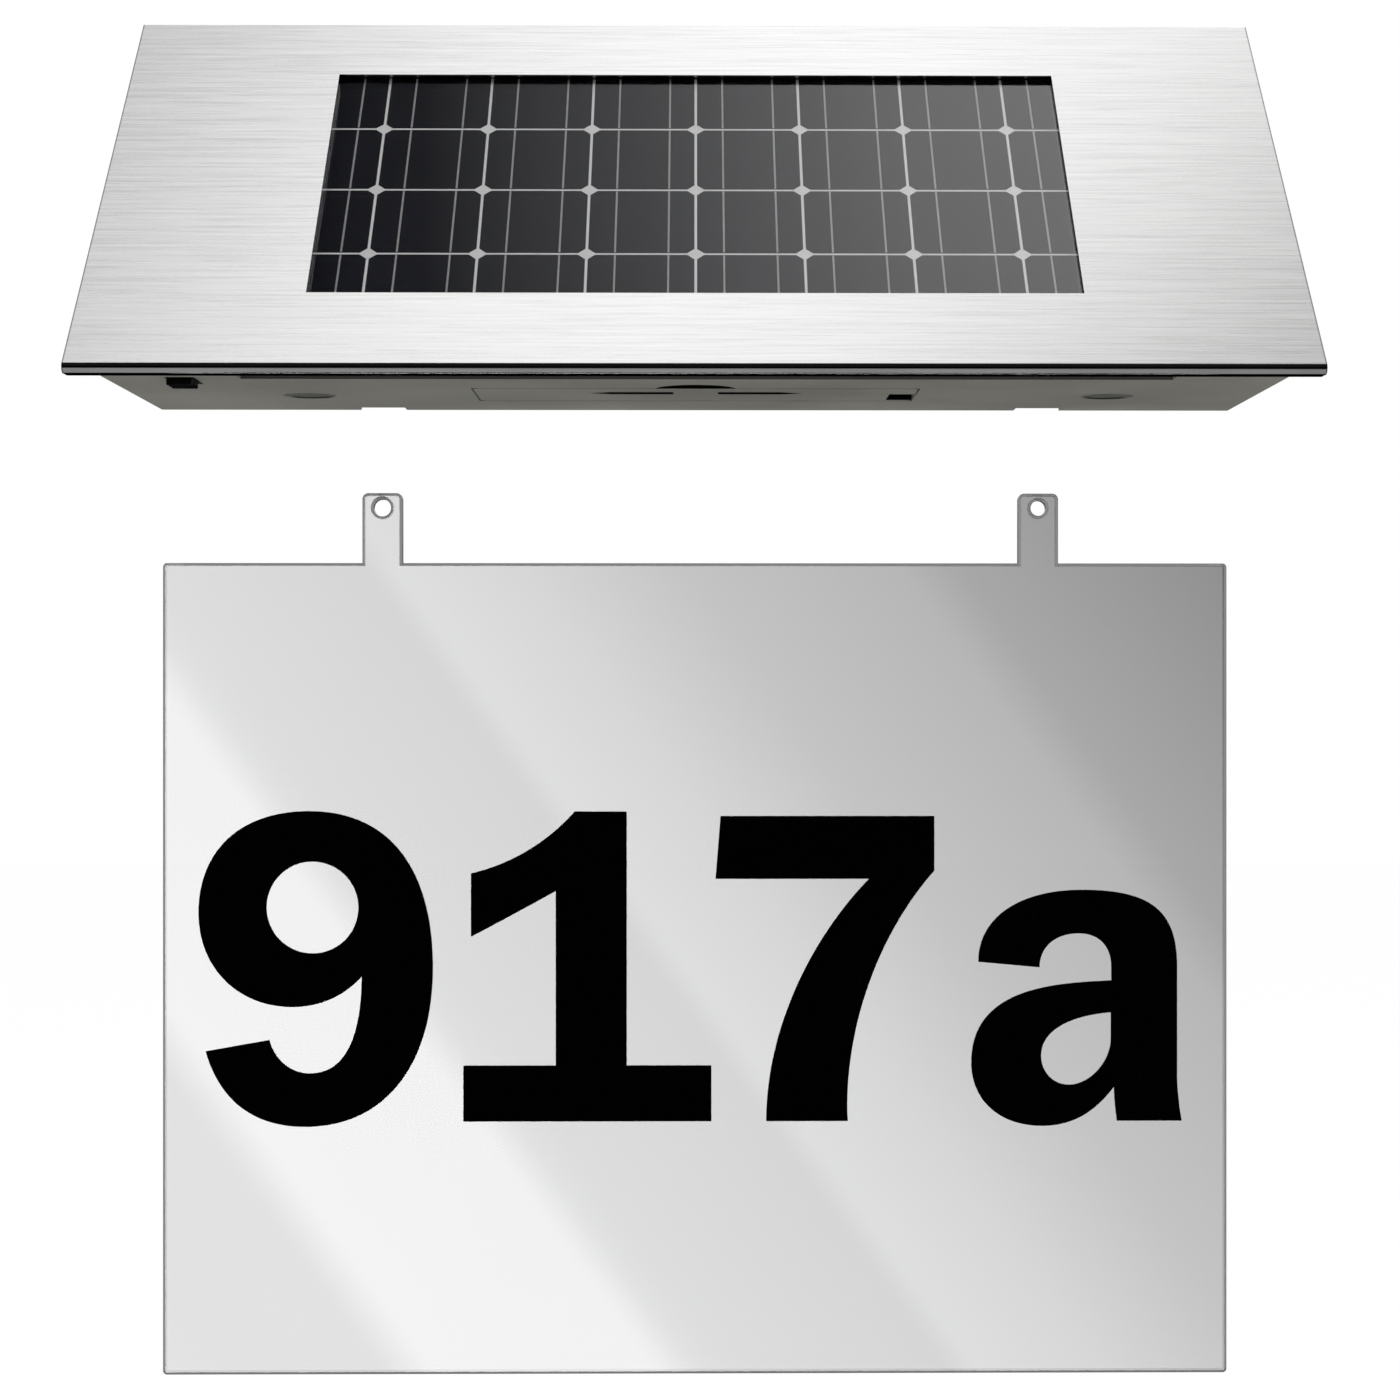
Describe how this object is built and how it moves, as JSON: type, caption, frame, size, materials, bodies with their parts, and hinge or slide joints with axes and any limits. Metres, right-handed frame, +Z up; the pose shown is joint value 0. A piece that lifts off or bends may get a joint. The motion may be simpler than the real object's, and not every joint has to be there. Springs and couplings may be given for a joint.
{
  "type": "solar house number plaque",
  "caption": "Solar-lit house number plaque: wedge lamp head with brushed steel roof, solar panel, switch and battery lid, and a clear number pane whose tabs slide up into the head.",
  "frame": {"origin": "midway between the two keyhole entries, in the plane of the wall", "axes": "+X to the right seen from the front, +Y towards the wall, +Z up"},
  "size_m": [0.2188, 0.0765, 0.2668],
  "materials": {
    "brushed_roof": "fine brushing across the width",
    "foam": "closed-cell foam",
    "panel_glass": "clear, polished",
    "silicon": "dark blue-black wafer",
    "busbar": "tinned ribbon",
    "backsheet": "pale grey film",
    "housing_grey": "fine moulded texture",
    "cover_grey": "fine moulded texture",
    "screw_steel": "zinc plated",
    "cell_sleeve": "shrink sleeve",
    "contact": "nickel plated spring steel",
    "board": "solder mask",
    "led": "phosphor under clear resin",
    "lens": "smoked diffuser",
    "switch_black": "black moulding",
    "acrylic": "clear cast sheet with polished edges",
    "foil": "cut black film",
    "lead": "insulated wire"
  },
  "bodies": {
    "head": {"roof_sheet": "brushed_roof", "roof_gasket": "foam", "solar_glass": "panel_glass", "solar_cells": "silicon", "cell_busbars": "busbar", "solar_backsheet": "backsheet", "housing": "housing_grey", "rear_cover": "cover_grey", "rear_cover_screws": "screw_steel", "battery_cell": "cell_sleeve", "battery_spring": "contact", "battery_plate": "contact", "circuit_board": "board", "led_board": "board", "board_screws": "screw_steel", "led_left": "led", "led_right": "led", "led_lens_left": "lens", "led_lens_right": "lens", "switch_body": "switch_black", "solar_lead": "lead", "battery_leads": "lead", "lamp_lead": "lead"},
    "pane": {"number_pane": "acrylic", "digit_nine": "foil", "digit_one": "foil", "digit_seven": "foil", "letter_a": "foil"},
    "battery_lid": {"battery_cover": "housing_grey"},
    "switch": {"switch_knob": "switch_black"}
  },
  "joints": [
    {"name": "pane_slide", "type": "slide", "parent": "head", "child": "pane", "axis": [0, 0, 1], "range_m": [0, 0.0303]},
    {"name": "lid_hinge", "type": "hinge", "parent": "head", "child": "battery_lid", "pos_m": [0, -0.01825, -0.048], "axis": [1, 0, 0], "range_deg": [0, 75]},
    {"name": "switch_slide", "type": "slide", "parent": "head", "child": "switch", "axis": [0, 1, 0], "range_m": [0, 0.004]}
  ]
}
